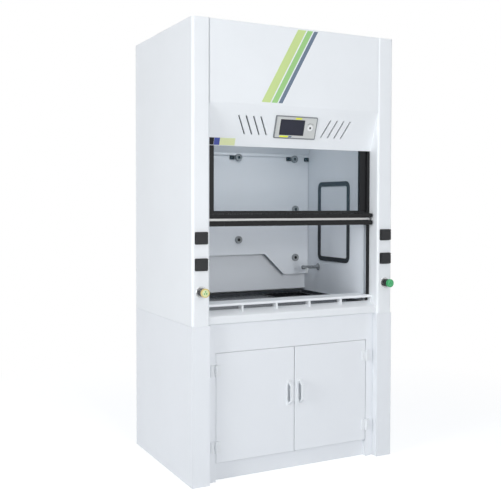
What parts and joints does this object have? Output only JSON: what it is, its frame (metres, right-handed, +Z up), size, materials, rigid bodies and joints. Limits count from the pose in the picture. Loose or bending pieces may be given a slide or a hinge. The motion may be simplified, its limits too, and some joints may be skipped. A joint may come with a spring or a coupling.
{
  "type": "fume hood",
  "caption": "Free-standing ducted fume hood of polypropylene sheet with a counterbalanced vertical sash, slotted baffles, drip sink and a base cabinet with hinged doors.",
  "frame": {"origin": "on the floor, under the middle of the hood's overall box", "axes": "+X to the right seen from the front, +Y back into the hood, +Z up"},
  "size_m": [1.25, 0.918, 2.46],
  "materials": {
    "white_sheet": "satin polypropylene sheet",
    "white_moulded": "moulded polypropylene",
    "liner_sheet": "satin polypropylene sheet",
    "worktop_grey": "smooth moulded worktop",
    "sink_grey": "smooth moulded sink",
    "outlet_grey": "powder coat over metal",
    "knob_grey": "moulded",
    "black_plastic": "satin",
    "black_gloss": "moulded",
    "gasket_rubber": "extruded seal",
    "clear_glass": "clear laminated pane",
    "bright_strip": "satin anodised",
    "bezel_grey": "satin",
    "screen": "dark display window",
    "lamp_diffuser": "opal",
    "charcoal": "moulded",
    "cap_yellow": "moulded",
    "cap_green": "moulded",
    "steel": "plain",
    "iron": "painted bar",
    "pulley_nylon": "machined nylon"
  },
  "bodies": {
    "casing": {"upper_side_left": "white_sheet", "upper_side_right": "white_sheet", "base_side_left": "white_sheet", "base_side_right": "white_sheet", "back_panel_lower": "white_sheet", "back_panel_upper": "white_sheet", "roof_panel": "white_sheet", "fascia": "white_sheet", "control_unit": "bezel_grey", "display_screen": "screen", "exhaust_collar": "white_sheet", "chamber_walls": "liner_sheet", "rear_liner": "liner_sheet", "chamber_ceiling": "liner_sheet", "chamber_lamp": "lamp_diffuser", "main_baffle": "liner_sheet", "lower_baffle": "liner_sheet", "top_deflector": "liner_sheet", "baffle_knobs": "knob_grey", "slot_spacers": "black_plastic", "worktop": "worktop_grey", "sink_bowl": "sink_grey", "sink_trap": "white_sheet", "sill": "white_sheet", "airfoil": "white_sheet", "airfoil_spacers": "white_sheet", "sash_tracks": "black_plastic", "access_panels": "liner_sheet", "access_gaskets": "gasket_rubber", "service_outlets": "outlet_grey", "service_valves": "outlet_grey", "socket_bodies": "charcoal", "pulley_brackets": "steel", "sash_cables": "steel", "cabinet_carcass": "white_sheet", "cabinet_rails": "white_sheet", "hinge_frames": "white_moulded"},
    "sash": {"sash_frame": "black_plastic", "sash_glass": "clear_glass", "sash_handle": "black_plastic", "handle_strip": "bright_strip", "sash_glides": "black_plastic"},
    "weight_left": {"counterweight_left": "iron"},
    "pulley_left": {"pulley_left": "pulley_nylon"},
    "door_left": {"door_left": "white_sheet", "door_handle_left": "white_moulded", "hinge_leaves_left": "white_moulded"},
    "valve_left": {"valve_knob_left": "black_gloss", "valve_cap_left": "cap_yellow"},
    "lid_left_lower": {"socket_lid_left_lower": "charcoal"},
    "lid_left_upper": {"socket_lid_left_upper": "charcoal"},
    "weight_right": {"counterweight_right": "iron"},
    "pulley_right": {"pulley_right": "pulley_nylon"},
    "door_right": {"door_right": "white_sheet", "door_handle_right": "white_moulded", "hinge_leaves_right": "white_moulded"},
    "valve_right": {"valve_knob_right": "black_gloss", "valve_cap_right": "cap_green"},
    "lid_right_lower": {"socket_lid_right_lower": "charcoal"},
    "lid_right_upper": {"socket_lid_right_upper": "charcoal"}
  },
  "joints": [
    {"name": "sash_slide", "type": "slide", "parent": "casing", "child": "sash", "axis": [0, 0, 1], "range_m": [-0.4045, 0.1], "deforming": ["sash_cables"]},
    {"name": "weight_left_slide", "type": "slide", "parent": "casing", "child": "weight_left", "axis": [0, 0, 1], "range_m": [-0.11, 0.42]},
    {"name": "pulley_left_spin", "type": "hinge", "parent": "casing", "child": "pulley_left", "pos_m": [-0.533, -0.302, 2.35], "axis": [0, 1, 0], "range_deg": [-200, 780]},
    {"name": "weight_right_slide", "type": "slide", "parent": "casing", "child": "weight_right", "axis": [0, 0, 1], "range_m": [-0.11, 0.42]},
    {"name": "pulley_right_spin", "type": "hinge", "parent": "casing", "child": "pulley_right", "pos_m": [0.533, -0.302, 2.35], "axis": [0, 1, 0], "range_deg": [-780, 200]},
    {"name": "door_left_hinge", "type": "hinge", "parent": "casing", "child": "door_left", "pos_m": [-0.476, -0.371, 0.386], "axis": [0, 0, -1], "range_deg": [0, 110]},
    {"name": "valve_left_turn", "type": "hinge", "parent": "casing", "child": "valve_left", "pos_m": [-0.575, -0.43, 1.005], "axis": [0, -1, 0], "range_deg": [0, 360]},
    {"name": "lid_left_lower_hinge", "type": "hinge", "parent": "casing", "child": "lid_left_lower", "pos_m": [-0.575, -0.41265, 1.17065], "axis": [-1, 0, 0], "range_deg": [0, 110], "stiffness_Nm_per_rad": 0.004, "springref_deg": -17.19},
    {"name": "lid_left_upper_hinge", "type": "hinge", "parent": "casing", "child": "lid_left_upper", "pos_m": [-0.575, -0.41265, 1.30565], "axis": [-1, 0, 0], "range_deg": [0, 110], "stiffness_Nm_per_rad": 0.004, "springref_deg": -17.19},
    {"name": "door_right_hinge", "type": "hinge", "parent": "casing", "child": "door_right", "pos_m": [0.476, -0.371, 0.386], "axis": [0, 0, 1], "range_deg": [0, 110]},
    {"name": "valve_right_turn", "type": "hinge", "parent": "casing", "child": "valve_right", "pos_m": [0.575, -0.43, 1.005], "axis": [0, -1, 0], "range_deg": [0, 360]},
    {"name": "lid_right_lower_hinge", "type": "hinge", "parent": "casing", "child": "lid_right_lower", "pos_m": [0.575, -0.41265, 1.17065], "axis": [-1, 0, 0], "range_deg": [0, 110], "stiffness_Nm_per_rad": 0.004, "springref_deg": -17.19},
    {"name": "lid_right_upper_hinge", "type": "hinge", "parent": "casing", "child": "lid_right_upper", "pos_m": [0.575, -0.41265, 1.30565], "axis": [-1, 0, 0], "range_deg": [0, 110], "stiffness_Nm_per_rad": 0.004, "springref_deg": -17.19}
  ],
  "couplings": [
    {"joint": "weight_left_slide", "follows": "sash_slide", "ratio": -1},
    {"joint": "pulley_left_spin", "follows": "sash_slide", "rad_per_m": -33.333},
    {"joint": "weight_right_slide", "follows": "sash_slide", "ratio": -1},
    {"joint": "pulley_right_spin", "follows": "sash_slide", "rad_per_m": 33.333}
  ]
}
